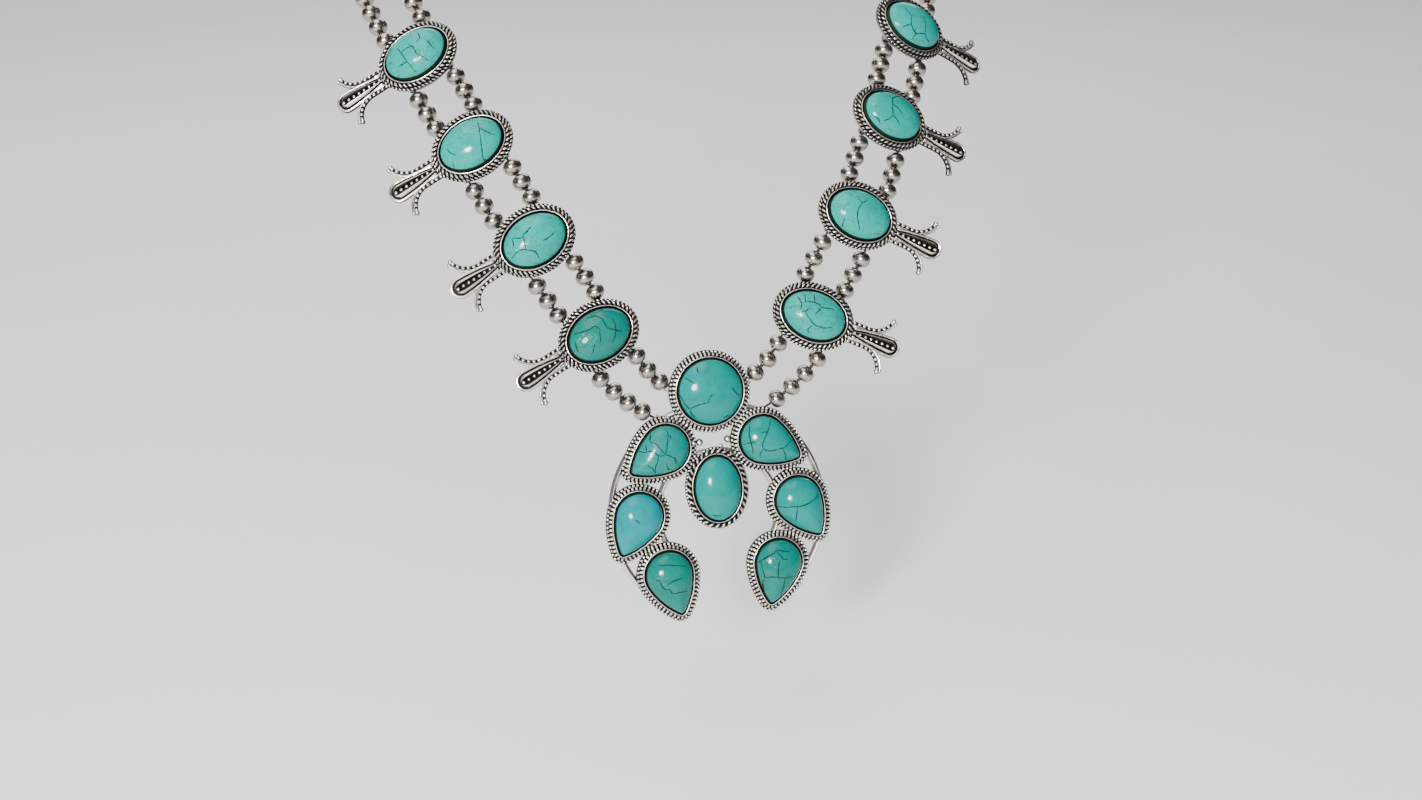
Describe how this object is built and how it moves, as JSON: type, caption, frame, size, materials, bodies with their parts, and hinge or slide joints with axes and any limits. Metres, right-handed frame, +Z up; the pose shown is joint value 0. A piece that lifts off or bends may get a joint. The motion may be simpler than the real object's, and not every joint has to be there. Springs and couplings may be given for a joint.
{
  "type": "squash blossom necklace",
  "caption": "Squash blossom necklace: crescent pendant of turquoise cabochons on twin strands of silver beads, with blossom stations up both sides, in its worn form.",
  "frame": {"origin": "middle of the closing bar, where the necklace hangs at the nape", "axes": "+Z up, the pendant in front at -Y and facing -Y, +X to the viewer's right"},
  "size_m": [0.186, 0.1825, 0.2239],
  "materials": {
    "silver": "polished silver, oxidised dark in the recesses",
    "bead_silver": "antiqued grey silver, polished",
    "turquoise": "polished, with fine dark crackle",
    "thread": "twisted black thread"
  },
  "bodies": {
    "root": {"pendant_frame": "silver", "round_stone": "turquoise", "centre_oval_stone": "turquoise", "left_top_pear_stone": "turquoise", "left_middle_pear_stone": "turquoise", "left_tip_pear_stone": "turquoise", "right_top_pear_stone": "turquoise", "right_middle_pear_stone": "turquoise", "right_tip_pear_stone": "turquoise", "left_blossom_1": "silver", "left_blossom_2": "silver", "left_blossom_3": "silver", "left_blossom_4": "silver", "right_blossom_1": "silver", "right_blossom_2": "silver", "right_blossom_3": "silver", "right_blossom_4": "silver", "left_oval_stone_1": "turquoise", "left_oval_stone_2": "turquoise", "left_oval_stone_3": "turquoise", "left_oval_stone_4": "turquoise", "right_oval_stone_1": "turquoise", "right_oval_stone_2": "turquoise", "right_oval_stone_3": "turquoise", "right_oval_stone_4": "turquoise", "left_inner_beads": "bead_silver", "left_outer_beads": "bead_silver", "right_inner_beads": "bead_silver", "right_outer_beads": "bead_silver", "left_inner_thread": "thread", "left_outer_thread": "thread", "right_inner_thread": "thread", "right_outer_thread": "thread", "closing_bar": "silver"}
  },
  "joints": []
}
